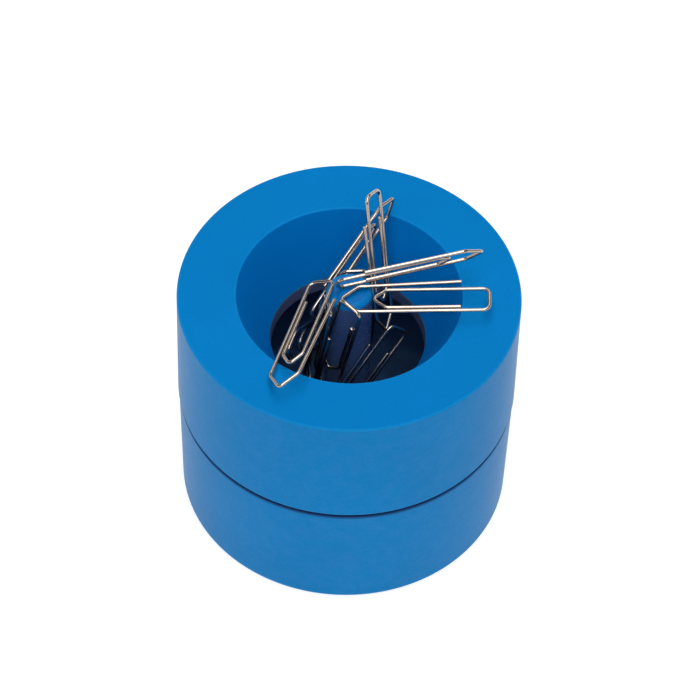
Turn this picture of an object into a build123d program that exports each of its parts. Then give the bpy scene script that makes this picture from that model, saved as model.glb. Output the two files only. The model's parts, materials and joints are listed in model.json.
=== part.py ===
from build123d import *
import math
import os

# Magnetic paper clip holder, in millimetres. Z is up, the holder stands on z = 0.

# Outside of the holder
top_radius = 36.5
base_step = 0.2
base_draft = 0.6
height = 60.0
parting_height = 30.2
shadow_gap = 1.0
rim_edge_radius = 0.8
base_edge_radius = 1.0
shoulder_edge_radius = 0.5
skirt_edge_radius = 0.3

# Walls of both shells, and the lap where the upper one sits on the lower one
shell_wall = 2.4
lip_wall = 1.15
lip_rise = 3.3
lip_lead = 0.4
lap_clearance = 0.15
floor_wall = 2.0
foot_recess = 1.4
foot_ring_width = 5.2
cup_corner_radius = 2.5

# Collar round the foot of the post
collar_wall = 1.4
collar_height = 4.0
collar_foot_radius = 2.4
collar_edge_radius = 0.5

# Funnel of the upper shell
mouth_radius = 24.0
mouth_edge_radius = 0.5
throat_radius = 16.6
throat_edge_radius = 3.0
funnel_depth = 14.0
neck_length = 4.0
neck_draft = 0.2
neck_edge_radius = 0.9
funnel_wall = 2.0
top_wall = 2.2

# Post, magnet and plug
post_radius = 4.95
post_clearance = 0.05
post_rise = 1.5
post_edge_radius = 1.2
post_wall = 1.05
post_cap = 1.2
flange_width = 4.05
flange_thickness = 1.0
magnet_clearance = 0.1
magnet_length = 20.0
magnet_edge = 0.3
plug_wall = 1.6
plug_head = 5.9

# Paper clip: a bent wire, corners given along its length and across it
wire_diameter = 0.8
clip_length = 31.0
clip_corners = [
    (25.2, 4.3),
    (3.6, 3.3),
    (-0.4, 0.0),
    (3.2, -3.4),
    (clip_length, -3.4),
    (clip_length, 2.3),
    (9.4, 2.3),
    (6.4, 0.0),
    (9.2, -2.4),
    (25.0, -2.4),
]
clip_bend_radii = [1.6, 0.8, 1.6, 1.5, 1.5, 1.4, 0.9, 1.4]

# Sides of the post, as steps across it to its surface; loose clips lie on top of it
on_top = (0, 0)
left = (-1, 0)
right = (1, 0)
front = (0, -1)
back = (0, 1)

# Where each clip lies: side of the post, its middle from there and from the rim's height,
# then heading and climb of its length, and roll about its length
clip_places = {
    "clip_front_left": (on_top, (-9.5, -13.5, 3.0), 74, -3, 155),
    "clip_right": (on_top, (14.0, -3.0, 3.0), 1, 3, 1),
    "clip_on_edge": (on_top, (12.5, 2.0, 7.0), 193, -7, 65),
    "clip_back_left": (left, (5.45, 11.0, -1.0), 236, -21, 89),
    "clip_standing": (right, (1.05, 9.0, 0.0), 105, 60, 49),
    "clip_hanging": (front, (-2.5, -0.55, -10.5), -33, 79, 83),
    "clip_leaning": (front, (2.0, -2.05, -22.0), 42, 42, 79),
    "clip_low_left": (left, (-2.55, 3.0, -17.5), 67, -35, 264),
    "clip_post_left": (left, (-1.55, -5.5, -13.5), 22, 81, 175),
    "clip_post_back": (back, (1.5, 1.05, -15.0), 88, 90, 187),
}

# Sizes that follow from those above
base_top_radius = top_radius - base_step
base_bottom_radius = base_top_radius - base_draft
shoulder = parting_height - shadow_gap / 2
skirt_bottom = parting_height + shadow_gap / 2
floor_top = foot_recess + floor_wall
foot_ring_inner_radius = base_bottom_radius - foot_ring_width
cup_wall_top_radius = base_top_radius - shell_wall
cup_wall_foot_radius = base_bottom_radius - shell_wall
lip_outer_radius = cup_wall_top_radius + lip_wall
lip_top = parting_height + lip_rise
rebate_radius = lip_outer_radius + lap_clearance
skirt_inner_radius = top_radius - shell_wall
post_hole_radius = post_radius + post_clearance
collar_radius = post_hole_radius + collar_wall
collar_top = floor_top + collar_height
throat_height = height - funnel_depth
neck_radius = throat_radius - neck_draft
neck_bottom = throat_height - neck_length
under_rim = height - top_wall
slope = math.atan2(mouth_radius - throat_radius, funnel_depth)
wall_across = funnel_wall / math.cos(slope)
outer_mouth = throat_radius + wall_across + math.tan(slope) * (under_rim - throat_height)
post_top = height + post_rise
bore_radius = post_radius - post_wall
bore_top = post_top - post_cap
flange_radius = post_radius + flange_width
flange_bottom = foot_recess - flange_thickness
magnet_radius = bore_radius - magnet_clearance
magnet_bottom = bore_top - magnet_length
plug_length = magnet_bottom - flange_bottom


def corner(builder, across, up):
    """The sketch corner closest to a point of the half section."""
    return builder.vertices().sort_by_distance(Vertex(across, up, 0))[0]


os.makedirs("parts", exist_ok=True)

# Lower shell: cup with foot ring, register lip and a collar for the post
with BuildPart() as base_cup:
    with BuildSketch(Plane.XZ) as cup_section:
        with BuildLine():
            Polyline(
                (post_hole_radius, foot_recess),
                (foot_ring_inner_radius, foot_recess),
                (foot_ring_inner_radius, 0),
                (base_bottom_radius, 0),
                (base_top_radius, shoulder),
                (lip_outer_radius, shoulder),
                (lip_outer_radius, lip_top),
                (cup_wall_top_radius, lip_top),
                (cup_wall_foot_radius, floor_top),
                (collar_radius, floor_top),
                (collar_radius, collar_top),
                (post_hole_radius, collar_top),
                close=True,
            )
        make_face()
        fillet(corner(cup_section, base_bottom_radius, 0), base_edge_radius)
        fillet(corner(cup_section, base_top_radius, shoulder), shoulder_edge_radius)
        fillet(corner(cup_section, cup_wall_foot_radius, floor_top), cup_corner_radius)
        fillet(corner(cup_section, collar_radius, floor_top), collar_foot_radius)
        fillet(corner(cup_section, collar_radius, collar_top), collar_edge_radius)
        chamfer(corner(cup_section, lip_outer_radius, lip_top), lip_lead)
    revolve(axis=Axis.Z)
base_cup.part.label = "base_cup"

# Upper shell: skirt, flat rim, funnel and neck, open underneath
with BuildPart() as funnel_top:
    with BuildSketch(Plane.XZ) as top_section:
        with BuildLine():
            Polyline(
                (top_radius, skirt_bottom),
                (top_radius, height),
                (mouth_radius, height),
                (throat_radius, throat_height),
                (neck_radius, neck_bottom),
                (neck_radius + funnel_wall, neck_bottom),
                (throat_radius + wall_across, throat_height),
                (outer_mouth, under_rim),
                (skirt_inner_radius, under_rim),
                (skirt_inner_radius, lip_top),
                (rebate_radius, lip_top),
                (rebate_radius, skirt_bottom),
                close=True,
            )
        make_face()
        fillet(corner(top_section, top_radius, height), rim_edge_radius)
        fillet(corner(top_section, mouth_radius, height), mouth_edge_radius)
        fillet(corner(top_section, throat_radius, throat_height), throat_edge_radius)
        fillet(corner(top_section, neck_radius, neck_bottom), neck_edge_radius)
        fillet(corner(top_section, neck_radius + funnel_wall, neck_bottom), neck_edge_radius)
        fillet(corner(top_section, top_radius, skirt_bottom), skirt_edge_radius)
    revolve(axis=Axis.Z)
funnel_top.part.label = "funnel_top"

# Post: closed tube with a foot flange, pushed in from below
with BuildPart() as magnet_post:
    with BuildSketch(Plane.XZ) as post_section:
        with BuildLine():
            Polyline(
                (bore_radius, flange_bottom),
                (flange_radius, flange_bottom),
                (flange_radius, foot_recess),
                (post_radius, foot_recess),
                (post_radius, post_top),
                (0, post_top),
                (0, bore_top),
                (bore_radius, bore_top),
                close=True,
            )
        make_face()
        fillet(corner(post_section, post_radius, post_top), post_edge_radius)
    revolve(axis=Axis.Z)
magnet_post.part.label = "magnet_post"

# Rod magnet under the cap of the post
with BuildPart() as post_magnet:
    with Locations((0, 0, magnet_bottom)):
        Cylinder(magnet_radius, magnet_length, align=(Align.CENTER, Align.CENTER, Align.MIN))
    chamfer(post_magnet.edges(), magnet_edge)
post_magnet.part.label = "post_magnet"

# Plug that holds the magnet up and closes the post, cored from below
with BuildPart() as post_plug:
    with Locations((0, 0, flange_bottom)):
        Cylinder(magnet_radius, plug_length, align=(Align.CENTER, Align.CENTER, Align.MIN))
        Cylinder(
            magnet_radius - plug_wall,
            plug_length - plug_head,
            align=(Align.CENTER, Align.CENTER, Align.MIN),
            mode=Mode.SUBTRACT,
        )
post_plug.part.label = "post_plug"

export_step(base_cup.part, "parts/base_cup.step")
export_step(funnel_top.part, "parts/funnel_top.step")
export_step(magnet_post.part, "parts/magnet_post.step")
export_step(post_magnet.part, "parts/post_magnet.step")
export_step(post_plug.part, "parts/post_plug.step")

# One bent wire clip, lying flat with its middle at the origin
with BuildPart() as wire_clip:
    with BuildLine() as wire_path:
        Polyline(*[(along - clip_length / 2, across) for along, across in clip_corners])
        for (along, across), bend in zip(clip_corners[1:-1], clip_bend_radii):
            fillet(corner(wire_path, along - clip_length / 2, across), bend)
    wire = wire_path.wire()
    with BuildSketch(Plane(wire @ 0, z_dir=wire % 0)):
        Circle(wire_diameter / 2)
    sweep(path=wire)


def clip_plane(side, offset, heading, climb, roll):
    """The plane a clip lies in, with its length along the plane's x."""
    head, lift, turn = (math.radians(value) for value in (heading, climb, roll))
    centre = Vector(side[0] * post_radius, side[1] * post_radius, height) + Vector(offset)
    length = Vector(
        math.cos(lift) * math.cos(head),
        math.cos(lift) * math.sin(head),
        math.sin(lift),
    )
    across = Vector(-math.sin(head), math.cos(head), 0)
    upward = length.cross(across)
    normal = upward * math.cos(turn) - across * math.sin(turn)
    return Plane(origin=centre, x_dir=length, z_dir=normal)


for clip_name, place in clip_places.items():
    with BuildPart() as clip:
        with Locations(clip_plane(*place)):
            add(wire_clip.part)
    clip.part.label = clip_name
    export_step(clip.part, "parts/" + clip_name + ".step")
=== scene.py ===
"""Visual model of a magnetic paper clip holder, laid out as a Blender add-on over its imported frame."""

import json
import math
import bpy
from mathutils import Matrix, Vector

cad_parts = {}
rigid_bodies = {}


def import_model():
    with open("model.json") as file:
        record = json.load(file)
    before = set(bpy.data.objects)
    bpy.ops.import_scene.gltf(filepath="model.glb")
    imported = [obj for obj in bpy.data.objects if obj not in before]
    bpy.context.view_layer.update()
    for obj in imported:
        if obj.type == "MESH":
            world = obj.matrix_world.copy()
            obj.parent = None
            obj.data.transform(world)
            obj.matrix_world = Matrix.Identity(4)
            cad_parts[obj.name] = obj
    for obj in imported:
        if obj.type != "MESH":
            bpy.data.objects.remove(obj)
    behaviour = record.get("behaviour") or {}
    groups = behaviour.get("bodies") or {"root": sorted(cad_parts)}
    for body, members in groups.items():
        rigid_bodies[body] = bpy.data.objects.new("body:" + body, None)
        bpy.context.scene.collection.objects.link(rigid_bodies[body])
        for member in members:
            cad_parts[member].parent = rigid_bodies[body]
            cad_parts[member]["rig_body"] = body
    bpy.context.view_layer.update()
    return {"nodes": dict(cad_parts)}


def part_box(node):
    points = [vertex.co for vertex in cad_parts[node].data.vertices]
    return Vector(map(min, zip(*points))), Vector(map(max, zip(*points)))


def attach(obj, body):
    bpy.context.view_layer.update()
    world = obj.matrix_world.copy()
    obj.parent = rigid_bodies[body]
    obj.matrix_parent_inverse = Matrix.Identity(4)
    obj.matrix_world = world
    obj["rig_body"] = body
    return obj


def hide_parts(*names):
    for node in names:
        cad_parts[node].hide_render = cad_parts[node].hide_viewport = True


bl_info = {
    "name": "Magnetic paper clip holder",
    "version": (1, 0, 0),
    "blender": (4, 5, 0),
    "location": "View3D > Sidebar > Clip Holder",
    "description": "Two-part moulded holder with a funnel, a magnet post and bent wire clips",
    "category": "Add Mesh",
}

import bmesh
import bpy
import numpy as np
from bpy.props import FloatProperty, FloatVectorProperty, PointerProperty
from mathutils import Matrix

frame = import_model()

MM = 0.001
RIM_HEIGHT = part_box("funnel_top")[1].z
TOP_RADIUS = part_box("funnel_top")[1].x
POST_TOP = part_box("magnet_post")[1].z

# Middle of each clip, in millimetres from the axis at rim height, and heading, climb and roll in degrees
CLIP_PLACES = {
    "clip_front_left": ((-9.5, -13.5, 3.0), 74, -3, 155),
    "clip_right": ((14.0, -3.0, 3.0), 1, 3, 1),
    "clip_on_edge": ((12.5, 2.0, 7.0), 193, -7, 65),
    "clip_back_left": ((0.5, 11.0, -1.0), 236, -21, 89),
    "clip_standing": ((6.0, 9.0, 0.0), 105, 60, 49),
    "clip_hanging": ((-2.5, -5.5, -10.5), -33, 79, 83),
    "clip_leaning": ((2.0, -7.0, -22.0), 42, 42, 79),
    "clip_low_left": ((-7.5, 3.0, -17.5), 67, -35, 264),
    "clip_post_left": ((-6.5, -5.5, -13.5), 22, 81, 175),
    "clip_post_back": ((1.5, 6.0, -15.0), 88, 90, 187),
}

# Bends of one clip, in millimetres along its length from its tip and across it, with their radii
CLIP_CORNERS = (
    (25.2, 4.3),
    (3.6, 3.3),
    (-0.4, 0.0),
    (3.2, -3.4),
    (31.0, -3.4),
    (31.0, 2.3),
    (9.4, 2.3),
    (6.4, 0.0),
    (9.2, -2.4),
    (25.0, -2.4),
)
CLIP_BENDS = (0.0, 1.6, 0.8, 1.6, 1.5, 1.5, 1.4, 0.9, 1.4, 0.0)

# Sheared end of the wire: millimetres from the end, and the share of the full thickness there
WIRE_END_STEPS = (0.0, 0.001, 0.03, 0.12, 0.3)
WIRE_END_SHARES = (0.0, 0.8, 0.94, 1.0, 1.0)

# Noise layers of moulded plastic: scale per metre, detail and roughness
PLASTIC_LAYERS = {
    "Grain": (1500.0, 3.0, 0.6),
    "Drift": (45.0, 4.0, 0.5),
    "Sheen patches": (320.0, 3.0, 0.7),
}

# Tone of the plastic: its deeper patches, how far the grain shows them, how strongly the painted
# highlight shows along rounded edges
DEEP_TONE = 0.88
GRAIN_TONE = 0.7
EDGE_HIGHLIGHT = 0.3

# Grain of the plastic: how far it swings the roughness, and its depth
GLOSS_SWING = 0.05
GRAIN_DEPTH = 0.05 * MM

# Haze: share of sheen, which also scales random patches of painted sheen; where the patches start in the
# noise, what a full patch adds
HAZE = 0.19
SHEEN_PATCH_START = 0.4
SHEEN_PATCH_COLOUR = (0.05, 0.015, 0.0)

# Shares of painted shade: inside the cup, on the neck, deeper blue in the funnel, and in and under the
# groove between the shells
CUP_SHADE_SHARE = 0.6
NECK_SHADE_SHARE = 0.9
FUNNEL_SHADE_SHARE = 0.85
JOINT_SHADE_SHARE = 0.95

# How near a point of a section has to be to a wall or a height to count as on it
NEAR = 0.1 * MM

# Distance under which two points of a mesh are one
WELD = 1e-8

# Floor: half its width, cells across it, height just under the foot ring, tone of its darker patches
FLOOR_REACH = 2.0
FLOOR_CELLS = 8
FLOOR_HEIGHT = -0.02 * MM
FLOOR_DIM = 0.985

# Soft panels: place, width and height in metres, and power in watts
PANELS = {
    "overhead_panel": ((0.03, -0.2, 1.2), 0.7, 1.6, 13.3),
    "front_left_panel": ((-0.69, -0.69, 0.72), 0.26, 0.26, 0.6),
    "back_panel": ((0.0, 0.8, 1.0), 0.6, 0.35, 1.2),
}

# The point that all panels face, and the direction that keeps them level
PANEL_AIM = (0.0, 0.0, 0.04)
PANEL_UPRIGHT = (0.0, 1.0, 0.001)

# Camera: distance and nearest depth in metres, angles in degrees, lens and sensor in millimetres
CAMERA_DISTANCE = 0.88624
CAMERA_NEAREST = 0.01
CAMERA_ELEVATION = 52.76
CAMERA_YAW = 0.037
CAMERA_PITCH = 1.675
CAMERA_ROLL = 1.88
CAMERA_LENS = 204.2
CAMERA_SENSOR = 36.0


def size(name, description, default):
    """A length that the user may change, in metres."""
    return FloatProperty(name=name, description=description, default=default, precision=5, unit="LENGTH")


def tone(name, description, default):
    """A linear colour that the user may change."""
    return FloatVectorProperty(
        name=name, description=description, default=default, subtype="COLOR", size=3, min=0.0, max=1.0
    )


class HolderSizes(bpy.types.PropertyGroup):
    """Sizes of the two shells, the post and the clips."""

    top_radius: size("Top radius", "Outside radius of the upper shell", TOP_RADIUS)
    rim_height: size("Rim height", "Height of the flat rim", RIM_HEIGHT)
    base_step: size("Base step", "How far the lower shell stands inside the upper one", 0.2 * MM)
    base_draft: size("Base draft", "How much the lower shell narrows to its foot", 0.6 * MM)
    parting: size("Parting height", "Middle of the line between the shells", 30.2 * MM)
    shadow_gap: size("Shadow gap", "Height of the groove between the shells", 1.0 * MM)
    shell_wall: size("Shell wall", "Thickness of both outer walls", 2.4 * MM)
    lip_wall: size("Lip wall", "Thickness of the lip that the upper shell sits on", 1.15 * MM)
    lip_rise: size("Lip rise", "Height of the lip above the parting", 3.3 * MM)
    lip_edge: size("Lip edge", "Radius of the lip's outer edge", 0.4 * MM)
    lap_clearance: size("Lap clearance", "Gap between lip and skirt", 0.15 * MM)
    shoulder_edge: size("Shoulder edge", "Radius of the lower shell under the groove", 0.5 * MM)
    foot_edge: size("Foot edge", "Radius of the lower shell at its foot", 1.0 * MM)
    foot_recess: size("Foot recess", "Height of the floor's underside", 1.4 * MM)
    foot_ring: size("Foot ring", "Width of the ring that the holder stands on", 5.2 * MM)
    floor_wall: size("Floor wall", "Thickness of the floor", 2.0 * MM)
    cup_corner: size("Cup corner", "Radius between wall and floor inside the cup", 2.5 * MM)
    collar_radius: size("Collar radius", "Outside of the collar round the post", 6.4 * MM)
    collar_height: size("Collar height", "Height of the collar above the floor", 4.0 * MM)
    collar_foot: size("Collar foot", "Radius between floor and collar", 2.4 * MM)
    collar_edge: size("Collar edge", "Radius of the collar's upper edge", 0.5 * MM)
    post_hole: size("Post hole", "Radius of the hole in the collar", 5.0 * MM)
    skirt_edge: size("Skirt edge", "Radius of the upper shell over the groove", 0.3 * MM)
    rim_edge: size("Rim edge", "Radius of the rim's outer edge", 0.4 * MM)
    top_wall: size("Top wall", "Thickness of the rim", 2.2 * MM)
    mouth_radius: size("Mouth radius", "Radius of the funnel at the rim", 24.0 * MM)
    mouth_edge: size("Mouth edge", "Radius between rim and funnel", 0.5 * MM)
    throat_radius: size("Throat radius", "Radius where the funnel meets its neck", 16.6 * MM)
    throat_edge: size("Throat edge", "Radius between funnel and neck", 3.0 * MM)
    funnel_depth: size("Funnel depth", "Depth of the cone below the rim", 14.0 * MM)
    funnel_wall: size("Funnel wall", "Thickness of cone and neck", 2.0 * MM)
    neck_length: size("Neck length", "Length of the straight neck", 4.0 * MM)
    neck_draft: size("Neck draft", "How much the neck narrows", 0.2 * MM)
    neck_edge: size("Neck edge", "Radius of the neck's two lower edges", 0.9 * MM)
    post_radius: size("Post radius", "Radius of the magnet post", 4.95 * MM)
    post_top: size("Post top", "Height of the post", POST_TOP)
    post_edge: size("Post edge", "Radius of the post's upper edge", 1.2 * MM)
    post_bore: size("Post bore", "Radius of the bore for the magnet", 3.9 * MM)
    post_cap: size("Post cap", "Thickness over the magnet", 1.2 * MM)
    flange_radius: size("Flange radius", "Radius of the post's foot", 9.0 * MM)
    flange_bottom: size("Flange underside", "Height of the underside of the post's foot", 0.4 * MM)
    fine_edge: size("Fine edge", "Radius of the edges that look sharp", 0.12 * MM)
    # Reach of the painted shade in and under the joint and on the neck
    joint_shade_rise: size("Joint shade rise", "How far the painted shade of the joint fades out up the lip", 0.6 * MM)
    joint_shade_fall: size("Joint shade fall", "How far the painted shade under the joint fades out down the lower wall", 0.8 * MM)
    neck_shade_rise: size("Neck shade rise", "How far the painted shade of the neck reaches above the throat", 0.4 * MM)
    wire_diameter: size("Wire diameter", "Thickness of the clip wire", 0.8 * MM)


class HolderColours(bpy.types.PropertyGroup):
    """Colours of plastic, wire and stage."""

    # The shell tone is darker and greyer than the rim tone: painted shade on the side walls
    shell: tone("Shell", "Blue of both shells, darker and greyer than the rim: painted shade on the side walls", (0.0, 0.212, 0.55))
    rim: tone("Rim", "Clear blue of the flat rim", (0.0, 0.222, 0.615))
    # Funnel tone: painted shade in the funnel
    funnel: tone("Funnel", "Painted shade: deeper blue in the funnel", (0.0, 0.164, 0.555))
    # Edge tone: painted highlight along rounded edges
    edge_highlight: tone("Edge highlight", "Painted highlight: paler blue along rounded edges", (0.008, 0.29, 0.66))
    # Painted shade inside the cup and on the neck
    inside_shade: tone("Inside shade", "Painted shade: grey-blue inside the cup and on the neck", (0.11, 0.125, 0.23))
    # Painted shade in the joint between the shells
    groove: tone("Groove", "Painted shade: navy in the joint between the shells", (0.02, 0.042, 0.16))
    post: tone("Post", "Blue of the glossy post", (0.0, 0.18, 0.575))
    # Painted shade on the post's side
    post_side_shade: tone("Post side shade", "Painted shade: navy side of the post", (0.065, 0.125, 0.29))
    wire: tone("Wire", "Plated clip wire", (0.56, 0.473, 0.405))
    wire_dull: tone("Dull wire", "Handled, dulled stretches of the wire", (0.34, 0.272, 0.223))
    magnet: tone("Magnet", "Grey of the rod magnet", (0.10, 0.10, 0.11))
    floor: tone("Floor", "Pale studio floor", (0.4, 0.4, 0.4))


def unit(vectors):
    """Each row divided by its length."""
    return vectors / np.linalg.norm(vectors, axis=-1, keepdims=True)


def rounded_corners(corners, radii, steps=9, lead=0.06 * MM):
    """Outline with an arc at each corner, and whether each point is on an arc.

    At a corner p entered along d, with turn t, the arc is p - d r tan(t/2) + r (sin f d + (1 - cos f) n)
    for f from 0 to t, n pointing to the inside of the turn. A short lead before and after each arc
    keeps the flat stretches flat when they are shaded smooth.
    """
    p = np.array(corners, float)
    r = np.array(radii, float)[:, None]
    along = unit(p - np.roll(p, 1, axis=0))
    onward = np.roll(along, -1, axis=0)
    turn = np.arctan2(
        along[:, 0] * onward[:, 1] - along[:, 1] * onward[:, 0], (along * onward).sum(axis=1)
    )[:, None]
    inside = np.sign(turn) * np.stack([-along[:, 1], along[:, 0]], axis=1)
    trim = r * np.tan(np.abs(turn) / 2)
    f = np.linspace(0, 1, steps)[None, :, None] * np.abs(turn)[:, None, :]
    sweep = np.sin(f) * along[:, None] + (1 - np.cos(f)) * inside[:, None]
    arcs = (p - along * trim)[:, None] + r[:, None] * sweep
    before = (p - along * (trim + lead))[:, None]
    after = (p + onward * (trim + lead))[:, None]
    points = np.concatenate([before, arcs, after], axis=1)
    on_arc = np.zeros(points.shape[:2])
    on_arc[:, 1:-1] = r > 0
    return points, on_arc


def grid_faces(rows, columns, closed_rows):
    """Quads of a grid that wraps round its columns, and round its rows where asked."""
    i = np.arange(rows if closed_rows else rows - 1)[:, None]
    j = np.arange(columns)[None, :]
    next_i = (i + 1) % rows
    next_j = (j + 1) % columns
    quads = [i * columns + j, next_i * columns + j, next_i * columns + next_j, i * columns + next_j]
    return np.stack(np.broadcast_arrays(*quads), axis=-1).reshape(-1, 4)


def turned_surface(outline, around=240):
    """A half section carried round the axis: (r cos a, r sin a, z) for a from 0 to a full turn."""
    a = np.linspace(0, 2 * np.pi, around, endpoint=False)[None, :]
    r = outline[:, :1]
    z = np.broadcast_to(outline[:, 1:], (len(outline), around))
    points = np.stack([r * np.cos(a), r * np.sin(a), z], axis=-1)
    return points.reshape(-1, 3), grid_faces(len(outline), around, True)


def wire_surface(path, thickness, normal, around=18):
    """A circle carried along a flat path: path + radius (cos a s + sin a n), s across the path.

    Also gives each point's place on the straightened wire, so that a finish can run along it.
    """
    a = np.linspace(0, 2 * np.pi, around, endpoint=False)[None, :, None]
    tangent = unit(np.gradient(path, axis=0))
    side = np.cross(tangent, normal)[:, None]
    ring = np.cos(a) * side + np.sin(a) * normal
    points = path[:, None] + thickness[:, None, None] * ring
    run = np.concatenate([[0], np.cumsum(np.linalg.norm(np.diff(path, axis=0), axis=1))])
    straight = np.broadcast_arrays(
        run[:, None], thickness[:, None] * np.cos(a[..., 0]), thickness[:, None] * np.sin(a[..., 0])
    )
    faces = grid_faces(len(path), around, False)
    return points.reshape(-1, 3), faces, np.stack(straight, axis=-1).reshape(-1, 3)


def make_piece(name, points, faces, material, node, masks=None, run=None):
    """A smooth mesh that stands for a CAD node, with its faces outwards and its poles closed.

    Masks are named shares from 0 to 1 at each point, and run is its place on a straightened wire.
    """
    a, b, c, d = (points[faces[:, k]] for k in range(4))
    volume = (np.cross(a, b) * c).sum() + (np.cross(a, c) * d).sum()
    if volume < 0:
        faces = faces[:, ::-1]
    mesh = bpy.data.meshes.new(name)
    mesh.from_pydata(points.tolist(), [], faces.tolist())
    for mask, values in (masks or {}).items():
        mesh.attributes.new(mask, "FLOAT", "POINT").data.foreach_set("value", values.ravel())
    if run is not None:
        mesh.attributes.new("wire_run", "FLOAT_VECTOR", "POINT").data.foreach_set("vector", run.ravel())
    welded = bmesh.new()
    welded.from_mesh(mesh)
    bmesh.ops.remove_doubles(welded, verts=welded.verts, dist=WELD)
    welded.to_mesh(mesh)
    welded.free()
    mesh.shade_smooth()
    mesh.materials.append(material)
    piece = bpy.data.objects.new(name, mesh)
    bpy.context.scene.collection.objects.link(piece)
    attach(piece, frame["nodes"][node]["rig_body"])
    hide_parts(node)
    return piece


def turned_piece(name, corners, painted_light, material, node):
    """A turned piece from the corners of its half section, each with its radius.

    Its dictionary of masks holds a function for each mask, which tells from radius and height how
    much painted shade a point of the section takes.
    """
    outline, on_arc = rounded_corners([c[:2] for c in corners], [c[2] for c in corners])
    outline = outline.reshape(-1, 2)
    points, faces = turned_surface(outline)
    around = len(points) // len(outline)
    masks = {"edge": np.repeat(on_arc.ravel(), around)}
    for mask, share in painted_light.items():
        masks[mask] = np.repeat(share(outline[:, 0], outline[:, 1]).astype(float), around)
    return make_piece(name, points, faces, material, node, masks=masks)


def second_finish(piece, material, reach, above):
    """Gives a turned piece a second material on faces within a reach of the axis and over a height."""
    mesh = piece.data
    mesh.materials.append(material)
    middles = np.empty(3 * len(mesh.polygons))
    mesh.polygons.foreach_get("center", middles)
    across = np.hypot(middles[0::3], middles[1::3])
    inside = (across < reach) & (middles[2::3] > above)
    mesh.polygons.foreach_set("material_index", inside.astype(np.int32))


def clip_axes(heading, climb, roll):
    """Unit vectors along a clip, across it and square to its plane."""
    head, lift, turn = np.radians([heading, climb, roll])
    length = np.array([np.cos(lift) * np.cos(head), np.cos(lift) * np.sin(head), np.sin(lift)])
    level = np.array([-np.sin(head), np.cos(head), 0.0])
    normal = np.cross(length, level) * np.cos(turn) - level * np.sin(turn)
    return length, np.cross(normal, length), normal


def clip_path():
    """Middle line of one flat clip, and the share of the wire's thickness at each point.

    The ends are sheared square with a broken edge, so the thickness falls to nothing in a short stretch.
    """
    corners = np.array(CLIP_CORNERS) * MM
    corners[:, 0] -= corners[:, 0].max() / 2
    bends, _ = rounded_corners(corners, np.array(CLIP_BENDS) * MM)
    ends = corners[[0, -1]]
    inward = unit(corners[[1, -2]] - ends)
    steps = np.array(WIRE_END_STEPS)[:, None] * MM
    first = ends[0] + inward[0] * steps
    last = ends[1] + inward[1] * steps[::-1]
    path = np.concatenate([first, bends[1:-1].reshape(-1, 2), last])
    full = np.ones(len(path) - 2 * len(steps))
    share = np.concatenate([WIRE_END_SHARES, full, WIRE_END_SHARES[::-1]])
    return path, share


def new_group(name, inputs, outputs):
    """An empty shader node group with float inputs and outputs."""
    group = bpy.data.node_groups.new(name, "ShaderNodeTree")
    for label, value in inputs.items():
        socket = group.interface.new_socket(label, in_out="INPUT", socket_type="NodeSocketFloat")
        socket.default_value = value
    for label in outputs:
        group.interface.new_socket(label, in_out="OUTPUT", socket_type="NodeSocketFloat")
    return group, group.nodes.new("NodeGroupInput"), group.nodes.new("NodeGroupOutput")


def moulded_grain_group():
    """Mould texture on Object coordinates: fine grain, a slow drift of tone and uneven patches for
    painted sheen.
    """
    if "moulded_grain" in bpy.data.node_groups:
        return bpy.data.node_groups["moulded_grain"]
    scales = {layer + " Scale": values[0] for layer, values in PLASTIC_LAYERS.items()}
    group, given, result = new_group("moulded_grain", scales, PLASTIC_LAYERS)
    place = group.nodes.new("ShaderNodeTexCoord")
    for layer, (_, detail, roughness) in PLASTIC_LAYERS.items():
        noise = group.nodes.new("ShaderNodeTexNoise")
        noise.inputs["Detail"].default_value = detail
        noise.inputs["Roughness"].default_value = roughness
        group.links.new(place.outputs["Object"], noise.inputs["Vector"])
        group.links.new(given.outputs[layer + " Scale"], noise.inputs["Scale"])
        group.links.new(noise.outputs["Fac"], result.inputs[layer])
    return group


def new_material(name):
    """A material with a Principled shader, and its tree."""
    material = bpy.data.materials.new(name)
    material.use_nodes = True
    tree = material.node_tree
    return material, tree, tree.nodes["Principled BSDF"]


def spread(tree, source, low, high, start=0.3, end=0.7):
    """The stretch of a noise from start to end, spread to the given span."""
    node = tree.nodes.new("ShaderNodeMapRange")
    node.inputs["From Min"].default_value = start
    node.inputs["From Max"].default_value = end
    node.inputs["To Min"].default_value = low
    node.inputs["To Max"].default_value = high
    tree.links.new(source, node.inputs["Value"])
    return node.outputs["Result"]


def blend(tree, factor, first, second):
    """Colour between two tones by a factor; a tone is a colour or an output."""
    node = tree.nodes.new("ShaderNodeMix")
    node.data_type = "RGBA"
    tree.links.new(factor, node.inputs["Factor"])
    for socket, value in ((node.inputs["A"], first), (node.inputs["B"], second)):
        if isinstance(value, bpy.types.NodeSocket):
            tree.links.new(value, socket)
        else:
            socket.default_value = (*value, 1.0)
    return node.outputs["Result"]


def bump(tree, shader, height, strength, distance):
    """A relief of the given depth on the shader's normal."""
    node = tree.nodes.new("ShaderNodeBump")
    node.inputs["Strength"].default_value = strength
    node.inputs["Distance"].default_value = distance
    tree.links.new(height, node.inputs["Height"])
    tree.links.new(node.outputs["Normal"], shader.inputs["Normal"])


def mask_share(tree, mask):
    """The share from 0 to 1 that the mesh holds under a mask's name."""
    node = tree.nodes.new("ShaderNodeAttribute")
    node.attribute_name = mask
    return node.outputs["Fac"]


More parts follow.
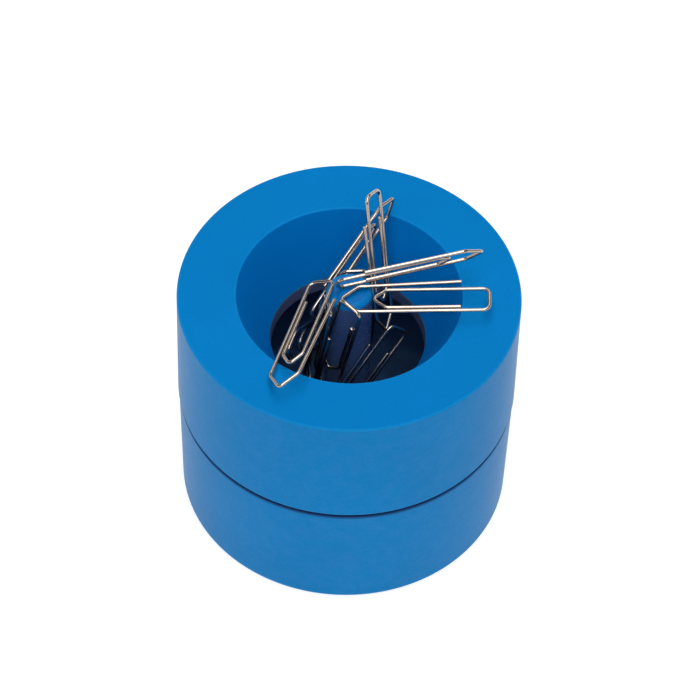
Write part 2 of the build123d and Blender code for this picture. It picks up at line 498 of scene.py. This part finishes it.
def plastic_material(name, tones, roughness, relief, haze=0.0, specular=0.03):
    """Moulded plastic: grain in relief and gloss, a slow drift of tone, a painted edge highlight and
    patches of painted sheen.

    Tones are the colours of the plastic itself, of the painted highlight along rounded edges, of
    painted shade inside, and of painted shade in the joint and in the funnel.
    """
    if name in bpy.data.materials:
        return bpy.data.materials[name]
    material, tree, shader = new_material(name)
    plain, highlight_tone, inside_shade, joint_and_funnel_shade = tones
    deep = tuple(DEEP_TONE * value for value in plain)
    sheen_tone = tuple(value + added for value, added in zip(plain, SHEEN_PATCH_COLOUR))
    texture = tree.nodes.new("ShaderNodeGroup")
    texture.node_tree = moulded_grain_group()
    grain, drift, sheen_patches = (texture.outputs[layer] for layer in PLASTIC_LAYERS)
    # Painted highlight along rounded edges
    painted_light = tree.nodes.new("ShaderNodeMath")
    painted_light.operation = "MULTIPLY"
    painted_light.inputs[1].default_value = EDGE_HIGHLIGHT
    tree.links.new(mask_share(tree, "edge"), painted_light.inputs[0])
    colour = blend(tree, spread(tree, drift, 0.0, 1.0), deep, plain)
    colour = blend(tree, spread(tree, grain, 0.0, GRAIN_TONE), colour, deep)
    # Random patches of painted sheen
    colour = blend(tree, spread(tree, sheen_patches, 0.0, haze, start=SHEEN_PATCH_START), colour, sheen_tone)
    colour = blend(tree, painted_light.outputs["Value"], colour, highlight_tone)
    # Painted shade inside
    colour = blend(tree, mask_share(tree, "inside_shade"), colour, inside_shade)
    # Painted shade in the joint and in the funnel
    colour = blend(tree, mask_share(tree, "joint_and_funnel_shade"), colour, joint_and_funnel_shade)
    gloss = spread(tree, grain, roughness - GLOSS_SWING, roughness + GLOSS_SWING)
    tree.links.new(colour, shader.inputs["Base Color"])
    tree.links.new(gloss, shader.inputs["Roughness"])
    bump(tree, shader, grain, strength=relief, distance=GRAIN_DEPTH)
    shader.inputs["IOR"].default_value = 1.5
    shader.inputs["Specular IOR Level"].default_value = specular
    shader.inputs["Sheen Weight"].default_value = haze
    shader.inputs["Sheen Roughness"].default_value = 0.35
    shader.inputs["Sheen Tint"].default_value = (1.0, 0.94, 0.76, 1.0)
    return material


def shell_tones(colours):
    """Plain colour of the shells' plastic, with its painted edge highlight, painted shade inside and
    painted shade in the joint.
    """
    return colours.shell, colours.edge_highlight, colours.inside_shade, colours.groove


def shell_plastic(colours):
    """Satin plastic of both shells, with a sheen and patches of painted sheen; its tone holds painted
    shade for the side walls.
    """
    return plastic_material("shell_plastic", shell_tones(colours), roughness=0.5, relief=0.8, haze=HAZE)


def rim_plastic(colours):
    """Clearer plastic of the rim, with painted shade deepening the funnel."""
    tones = (colours.rim, colours.edge_highlight, colours.inside_shade, colours.funnel)
    return plastic_material("rim_plastic", tones, roughness=0.5, relief=0.8)


def post_plastic(colours):
    """Glossy plastic of the post, with painted shade making its side navy."""
    tones = (colours.post, colours.edge_highlight, colours.post_side_shade, colours.groove)
    return plastic_material("post_plastic", tones, roughness=0.25, relief=0.06, specular=0.08)


def plug_plastic(colours):
    """Plastic of the plug, the shells' own with less grain."""
    return plastic_material("plug_plastic", shell_tones(colours), roughness=0.45, relief=0.25, haze=HAZE)


def magnet_grey(colours):
    """Grey, finely grained coat of the rod magnet."""
    return plastic_material("magnet_grey", 4 * (colours.magnet,), roughness=0.5, relief=0.3, haze=HAZE)


def wire_material(colours):
    """Plated drawn wire: fine draw lines and dulled stretches that run along the straightened wire."""
    if "plated_wire" in bpy.data.materials:
        return bpy.data.materials["plated_wire"]
    material, tree, shader = new_material("plated_wire")
    run = tree.nodes.new("ShaderNodeAttribute")
    run.attribute_name = "wire_run"
    stretch = tree.nodes.new("ShaderNodeMapping")
    stretch.inputs["Scale"].default_value = (0.06, 1.0, 1.0)
    lines = tree.nodes.new("ShaderNodeTexNoise")
    lines.inputs["Scale"].default_value = 6000.0
    lines.inputs["Detail"].default_value = 2.0
    dull = tree.nodes.new("ShaderNodeTexNoise")
    dull.inputs["Scale"].default_value = 120.0
    dull.inputs["Detail"].default_value = 3.0
    link = tree.links.new
    link(run.outputs["Vector"], stretch.inputs["Vector"])
    link(stretch.outputs["Vector"], lines.inputs["Vector"])
    link(run.outputs["Vector"], dull.inputs["Vector"])
    patch = spread(tree, dull.outputs["Fac"], low=0.0, high=0.3)
    link(blend(tree, patch, colours.wire, colours.wire_dull), shader.inputs["Base Color"])
    link(spread(tree, lines.outputs["Fac"], low=0.15, high=0.22), shader.inputs["Roughness"])
    bump(tree, shader, lines.outputs["Fac"], strength=0.03, distance=0.002 * MM)
    shader.inputs["Metallic"].default_value = 1.0
    return material


class HOLDER_OT_base_cup(bpy.types.Operator):
    """Lower shell: cup with a foot ring, a lip for the upper shell and a collar for the post"""

    bl_idname = "clip_holder.base_cup"
    bl_label = "Lower shell"

    def execute(self, context):
        s = context.scene.clip_holder_sizes
        shoulder_radius = s.top_radius - s.base_step
        shoulder = s.parting - s.shadow_gap / 2
        foot = shoulder_radius - s.base_draft
        inner_top = shoulder_radius - s.shell_wall
        lip = inner_top + s.lip_wall
        lip_middle = lip - s.lip_wall / 2
        lip_top = s.parting + s.lip_rise
        floor_top = s.foot_recess + s.floor_wall
        collar_top = floor_top + s.collar_height
        groove_top = s.parting + s.shadow_gap / 2
        joint_shade_top = groove_top + s.joint_shade_rise
        joint_shade_bottom = shoulder - s.joint_shade_fall
        joint_shade_radius = shoulder_radius - s.base_draft * s.joint_shade_fall / shoulder
        # Corners without a radius are only there for the painted shade of the joint to fade between
        corners = (
            (s.post_hole, s.foot_recess, s.fine_edge),
            (foot - s.foot_ring, s.foot_recess, s.fine_edge),
            (foot - s.foot_ring, 0.0, s.fine_edge),
            (foot, 0.0, s.foot_edge),
            (joint_shade_radius, joint_shade_bottom, 0.0),
            (shoulder_radius, shoulder, s.shoulder_edge),
            (lip, shoulder, s.fine_edge),
            (lip, groove_top, 0.0),
            (lip, joint_shade_top, 0.0),
            (lip, lip_top, s.lip_edge),
            (inner_top, lip_top, s.fine_edge),
            (foot - s.shell_wall, floor_top, s.cup_corner),
            (s.collar_radius, floor_top, s.collar_foot),
            (s.collar_radius, collar_top, s.collar_edge),
            (s.post_hole, collar_top, s.fine_edge),
        )

        # Painted shade inside the cup
        def inside_shade(radius, height):
            return CUP_SHADE_SHARE * ((radius < lip_middle) & (height > floor_top - NEAR))

        # Painted shade in the joint, fading up the lip and down the wall under it
        def joint_shade(radius, height):
            above = np.clip((joint_shade_top - height) / s.joint_shade_rise, 0.0, 1.0)
            below = np.clip((height - joint_shade_bottom) / s.joint_shade_fall, 0.0, 1.0)
            return JOINT_SHADE_SHARE * above * below * (radius > lip_middle)

        painted_light = {"inside_shade": inside_shade, "joint_and_funnel_shade": joint_shade}
        blue = shell_plastic(context.scene.clip_holder_colours)
        turned_piece("lower_shell", corners, painted_light, blue, "base_cup")
        return {"FINISHED"}


class HOLDER_OT_funnel_top(bpy.types.Operator):
    """Upper shell: skirt, flat rim, funnel and neck, open underneath"""

    bl_idname = "clip_holder.funnel_top"
    bl_label = "Upper shell"

    def execute(self, context):
        s = context.scene.clip_holder_sizes
        colours = context.scene.clip_holder_colours
        skirt_bottom = s.parting + s.shadow_gap / 2
        seat = s.parting + s.lip_rise
        rebate = s.top_radius - s.base_step - s.shell_wall + s.lip_wall + s.lap_clearance
        inner = s.top_radius - s.shell_wall
        under_rim = s.rim_height - s.top_wall
        throat = s.rim_height - s.funnel_depth
        neck_shade_top = throat + s.neck_shade_rise
        neck_bottom = throat - s.neck_length
        neck = s.throat_radius - s.neck_draft
        slope = math.atan2(s.mouth_radius - s.throat_radius, s.funnel_depth)
        across = s.funnel_wall / math.cos(slope)
        outer_mouth = s.throat_radius + across + math.tan(slope) * (under_rim - throat)
        corners = (
            (s.top_radius, skirt_bottom, s.skirt_edge),
            (s.top_radius, s.rim_height, s.rim_edge),
            (s.mouth_radius, s.rim_height, s.mouth_edge),
            (s.throat_radius, throat, s.throat_edge),
            (neck, neck_bottom, s.neck_edge),
            (neck + s.funnel_wall, neck_bottom, s.neck_edge),
            (s.throat_radius + across, throat, s.fine_edge),
            (outer_mouth, under_rim, s.fine_edge),
            (inner, under_rim, s.fine_edge),
            (inner, seat, s.fine_edge),
            (rebate, seat, s.fine_edge),
            (rebate, skirt_bottom, s.fine_edge),
        )

        # Painted shade on the neck
        def inside_shade(radius, height):
            return NECK_SHADE_SHARE * ((radius < s.throat_radius + NEAR) & (height < neck_shade_top))

        # Painted shade on the skirt's underside and in the funnel
        def skirt_and_funnel_shade(radius, height):
            funnel_shade = (radius < s.mouth_radius) & (height > neck_shade_top)
            return np.where(height < skirt_bottom + NEAR, 1.0, FUNNEL_SHADE_SHARE * funnel_shade)

        painted_light = {"inside_shade": inside_shade, "joint_and_funnel_shade": skirt_and_funnel_shade}
        shell = turned_piece("upper_shell", corners, painted_light, shell_plastic(colours), "funnel_top")
        second_finish(shell, rim_plastic(colours), s.top_radius - s.rim_edge / 2, neck_bottom - NEAR)
        return {"FINISHED"}


class HOLDER_OT_magnet_post(bpy.types.Operator):
    """Post: closed tube with a foot flange, glossier than the shells"""

    bl_idname = "clip_holder.magnet_post"
    bl_label = "Magnet post"

    def execute(self, context):
        s = context.scene.clip_holder_sizes
        bore_top = s.post_top - s.post_cap
        wall_middle = (s.post_bore + s.post_radius) / 2
        # The two corners on the axis close the cap
        corners = (
            (s.post_bore, s.flange_bottom, s.fine_edge),
            (s.flange_radius, s.flange_bottom, s.fine_edge),
            (s.flange_radius, s.foot_recess, s.fine_edge),
            (s.post_radius, s.foot_recess, s.fine_edge),
            (s.post_radius, s.post_top, s.post_edge),
            (0.0, s.post_top, 0.0),
            (0.0, bore_top, 0.0),
            (s.post_bore, bore_top, s.fine_edge),
        )

        # Painted shade on the post's side
        def inside_shade(radius, height):
            side = (radius > wall_middle) & (radius < s.collar_radius)
            return side & (height < s.post_top - s.post_edge + NEAR)

        blue = post_plastic(context.scene.clip_holder_colours)
        turned_piece("magnet_post_shell", corners, {"inside_shade": inside_shade}, blue, "magnet_post")
        return {"FINISHED"}


class HOLDER_OT_inside_parts(bpy.types.Operator):
    """Rod magnet and plug inside the post, which keep their CAD shapes"""

    bl_idname = "clip_holder.inside_parts"
    bl_label = "Magnet and plug"

    def execute(self, context):
        colours = context.scene.clip_holder_colours
        for node, finish in (("post_magnet", magnet_grey), ("post_plug", plug_plastic)):
            mesh = frame["nodes"][node].data
            mesh.materials.clear()
            mesh.materials.append(finish(colours))
        return {"FINISHED"}


class HOLDER_OT_paper_clips(bpy.types.Operator):
    """Bent wire clips, each on the plane where it lies"""

    bl_idname = "clip_holder.paper_clips"
    bl_label = "Paper clips"

    def execute(self, context):
        s = context.scene.clip_holder_sizes
        material = wire_material(context.scene.clip_holder_colours)
        flat, share = clip_path()
        for node, (middle, heading, climb, roll) in CLIP_PLACES.items():
            length, across, normal = clip_axes(heading, climb, roll)
            origin = np.array(middle) * MM + np.array([0.0, 0.0, s.rim_height])
            path = origin + flat[:, :1] * length + flat[:, 1:] * across
            points, faces, straight = wire_surface(path, share * s.wire_diameter / 2, normal)
            make_piece(node + "_wire", points, faces, material, node, run=straight)
        return {"FINISHED"}


def pale_floor_material(colour):
    """Matt pale board with a barely uneven tone."""
    material, tree, shader = new_material("pale_floor")
    place = tree.nodes.new("ShaderNodeTexCoord")
    cloud = tree.nodes.new("ShaderNodeTexNoise")
    cloud.inputs["Scale"].default_value = 6.0
    tree.links.new(place.outputs["Object"], cloud.inputs["Vector"])
    dim = tuple(FLOOR_DIM * value for value in colour)
    uneven = blend(tree, spread(tree, cloud.outputs["Fac"], low=0.0, high=1.0), dim, colour)
    tree.links.new(uneven, shader.inputs["Base Color"])
    shader.inputs["Roughness"].default_value = 0.9
    shader.inputs["Specular IOR Level"].default_value = 0.1
    shader.inputs["Emission Color"].default_value = (1.0, 1.0, 1.0, 1.0)
    shader.inputs["Emission Strength"].default_value = 0.77
    return material


def pale_floor(colour):
    """A level square grid, (x, y, height) for x and y from minus to plus its reach."""
    line = np.linspace(-FLOOR_REACH, FLOOR_REACH, FLOOR_CELLS + 1)
    x, y = np.meshgrid(line, line, indexing="ij")
    points = np.stack([x, y, np.full_like(x, FLOOR_HEIGHT)], axis=-1).reshape(-1, 3)
    row = len(line)
    i, j = np.meshgrid(np.arange(FLOOR_CELLS), np.arange(FLOOR_CELLS), indexing="ij")
    faces = (i * row + j).reshape(-1, 1) + np.array([0, row, row + 1, 1])
    mesh = bpy.data.meshes.new("floor")
    mesh.from_pydata(points.tolist(), [], faces.tolist())
    mesh.materials.append(pale_floor_material(colour))
    return bpy.data.objects.new("floor", mesh)


def axes_matrix(right, up, back, place):
    """World matrix of a light or a camera from its axes and its place."""
    matrix = np.eye(4)
    matrix[:3, :] = np.stack([right, up, back, np.array(place)], axis=1)
    return Matrix(matrix.tolist())


def soft_panel(name, place, width, height, power):
    """A large soft light at a place, facing the aim of all panels."""
    lamp = bpy.data.lights.new(name, "AREA")
    lamp.shape = "RECTANGLE"
    lamp.size = width
    lamp.size_y = height
    lamp.energy = power
    back = unit(np.array(place) - np.array(PANEL_AIM))
    right = unit(np.cross(PANEL_UPRIGHT, back))
    panel = bpy.data.objects.new(name, lamp)
    panel.matrix_world = axes_matrix(right, np.cross(back, right), back, place)
    return panel


def studio_world(low, high, edge, blur):
    """White studio walls, bright up to an angle above the floor and dim over it, with a blurred edge."""
    world = bpy.data.worlds.new("studio")
    world.use_nodes = True
    tree = world.node_tree
    place = tree.nodes.new("ShaderNodeTexCoord")
    split = tree.nodes.new("ShaderNodeSeparateXYZ")
    fade = tree.nodes.new("ShaderNodeMapRange")
    fade.interpolation_type = "SMOOTHSTEP"
    fade.inputs["From Min"].default_value = math.sin(edge - blur)
    fade.inputs["From Max"].default_value = math.sin(edge + blur)
    fade.inputs["To Min"].default_value = low
    fade.inputs["To Max"].default_value = high
    tree.links.new(place.outputs["Generated"], split.inputs["Vector"])
    tree.links.new(split.outputs["Z"], fade.inputs["Value"])
    backdrop = tree.nodes["Background"]
    backdrop.inputs["Color"].default_value = (1.0, 1.0, 1.0, 1.0)
    tree.links.new(fade.outputs["Result"], backdrop.inputs["Strength"])
    return world


def photo_camera():
    """A camera in front and above that faces the middle of the foot, then is turned by three angles."""
    angles = (CAMERA_ELEVATION, CAMERA_YAW, CAMERA_PITCH, CAMERA_ROLL)
    elevation, yaw, pitch, roll = np.radians(angles)
    place = CAMERA_DISTANCE * np.array([0.0, -np.cos(elevation), np.sin(elevation)])
    level = np.array([1.0, 0.0, 0.0])
    ahead = -unit(place)
    above = np.cross(level, ahead)
    look = np.cos(pitch) * (np.cos(yaw) * ahead + np.sin(yaw) * level) + np.sin(pitch) * above
    right = unit(np.cross(look, above))
    up = np.cross(right, look)
    turned_right = right * np.cos(roll) + up * np.sin(roll)
    turned_up = up * np.cos(roll) - right * np.sin(roll)
    lens = bpy.data.cameras.new("photo_camera")
    lens.sensor_width = CAMERA_SENSOR
    lens.lens = CAMERA_LENS
    lens.clip_start = CAMERA_NEAREST
    camera = bpy.data.objects.new("photo_camera", lens)
    camera.matrix_world = axes_matrix(turned_right, turned_up, -look, place)
    return camera


class HOLDER_OT_stage(bpy.types.Operator):
    """Pale floor, soft studio light and the camera at the photograph's angle"""

    bl_idname = "clip_holder.stage"
    bl_label = "Stage"

    def execute(self, context):
        scene = context.scene
        floor = pale_floor(scene.clip_holder_colours.floor)
        scene.collection.objects.link(floor)
        for name, (place, width, height, power) in PANELS.items():
            scene.collection.objects.link(soft_panel(name, place, width, height, power))
        scene.world = studio_world(low=0.95, high=0.1, edge=math.radians(15), blur=0.08)
        scene.view_settings.view_transform = "Standard"
        scene.camera = photo_camera()
        scene.collection.objects.link(scene.camera)
        return {"FINISHED"}


class HOLDER_PT_sidebar(bpy.types.Panel):
    """Lists the pieces of the holder and the sizes and colours they are made from"""

    bl_idname = "HOLDER_PT_sidebar"
    bl_label = "Paper clip holder"
    bl_space_type = "VIEW_3D"
    bl_region_type = "UI"
    bl_category = "Clip Holder"

    def draw(self, context):
        for operator in OPERATORS:
            self.layout.operator(operator.bl_idname)
        for group in (context.scene.clip_holder_sizes, context.scene.clip_holder_colours):
            for name in group.__annotations__:
                self.layout.prop(group, name)


OPERATORS = (
    HOLDER_OT_base_cup,
    HOLDER_OT_funnel_top,
    HOLDER_OT_magnet_post,
    HOLDER_OT_inside_parts,
    HOLDER_OT_paper_clips,
    HOLDER_OT_stage,
)
CLASSES = (HolderSizes, HolderColours, *OPERATORS, HOLDER_PT_sidebar)


def register():
    """Makes the add-on's classes and settings known to Blender."""
    for cls in CLASSES:
        bpy.utils.register_class(cls)
    bpy.types.Scene.clip_holder_sizes = PointerProperty(type=HolderSizes)
    bpy.types.Scene.clip_holder_colours = PointerProperty(type=HolderColours)


def unregister():
    """Takes the settings and classes away again."""
    del bpy.types.Scene.clip_holder_colours
    del bpy.types.Scene.clip_holder_sizes
    for cls in reversed(CLASSES):
        bpy.utils.unregister_class(cls)


def main():
    """Registers the add-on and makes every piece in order."""
    register()
    bpy.ops.clip_holder.base_cup()
    bpy.ops.clip_holder.funnel_top()
    bpy.ops.clip_holder.magnet_post()
    bpy.ops.clip_holder.inside_parts()
    bpy.ops.clip_holder.paper_clips()
    bpy.ops.clip_holder.stage()


if __name__ == "__main__":
    main()
